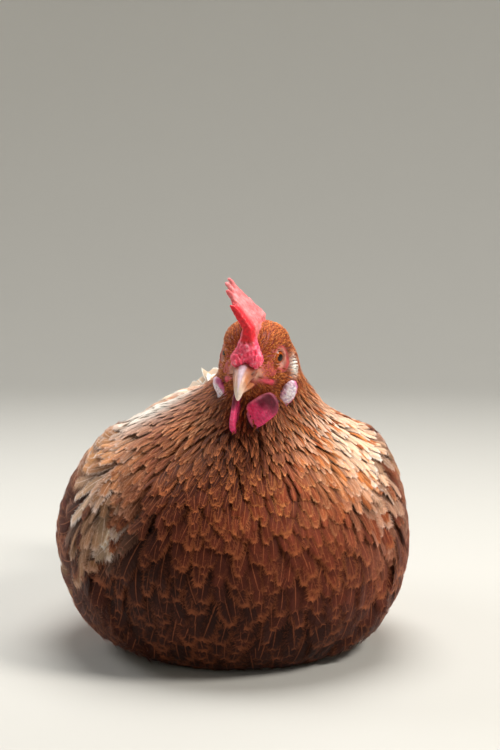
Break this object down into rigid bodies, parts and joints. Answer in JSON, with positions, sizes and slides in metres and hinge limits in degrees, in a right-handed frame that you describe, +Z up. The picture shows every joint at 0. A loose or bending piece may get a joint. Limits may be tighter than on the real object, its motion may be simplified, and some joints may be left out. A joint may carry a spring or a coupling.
{
  "type": "hen, a still life-size model of a resting brown laying hen",
  "caption": "Life-size resting hen with puffed breast, folded wings, tucked legs and head turned a little; still, no joints.",
  "frame": {"origin": "on the floor under the belly, midway between the wings and a little ahead of the legs", "axes": "+Z up, the hen faces -Y, +X towards the hen's left side"},
  "size_m": [0.2189, 0.3307, 0.2295],
  "materials": {
    "body_feathers": "soft overlapping brown feathers with pale fringes",
    "hackle_feathers": "narrow golden-brown neck feathers with a faint sheen",
    "head_feathers": "short rust and gold feathers",
    "wing_feathers": "smooth red-brown flight feathers and coverts with pale lacing",
    "tail_feathers": "tan and off-white tail feathers",
    "comb_skin": "granular moist red skin",
    "wattle_skin": "wrinkled crimson skin",
    "earlobe_skin": "soft lilac-white skin",
    "face_skin": "bare pink facial skin with fine folds",
    "beak_horn": "smooth horn, tan at the base and ivory at the tip",
    "eye_glass": "glossy wet eye with an orange iris",
    "leg_scales": "pale yellow overlapping scutes",
    "claw_horn": "worn pale horn"
  },
  "bodies": {
    "root": {"trunk": "body_feathers", "neck": "hackle_feathers", "head": "head_feathers", "tail": "tail_feathers", "comb": "comb_skin", "beak_upper": "beak_horn", "beak_lower": "beak_horn", "wing_left": "wing_feathers", "thigh_left": "body_feathers", "eye_left": "eye_glass", "earlobe_left": "earlobe_skin", "wattle_left": "wattle_skin", "shank_left": "leg_scales", "foot_left": "leg_scales", "claw_left_1": "claw_horn", "claw_left_2": "claw_horn", "claw_left_3": "claw_horn", "claw_left_4": "claw_horn", "wing_right": "wing_feathers", "thigh_right": "body_feathers", "eye_right": "eye_glass", "earlobe_right": "earlobe_skin", "wattle_right": "wattle_skin", "shank_right": "leg_scales", "foot_right": "leg_scales", "claw_right_1": "claw_horn", "claw_right_2": "claw_horn", "claw_right_3": "claw_horn", "claw_right_4": "claw_horn"}
  },
  "joints": []
}
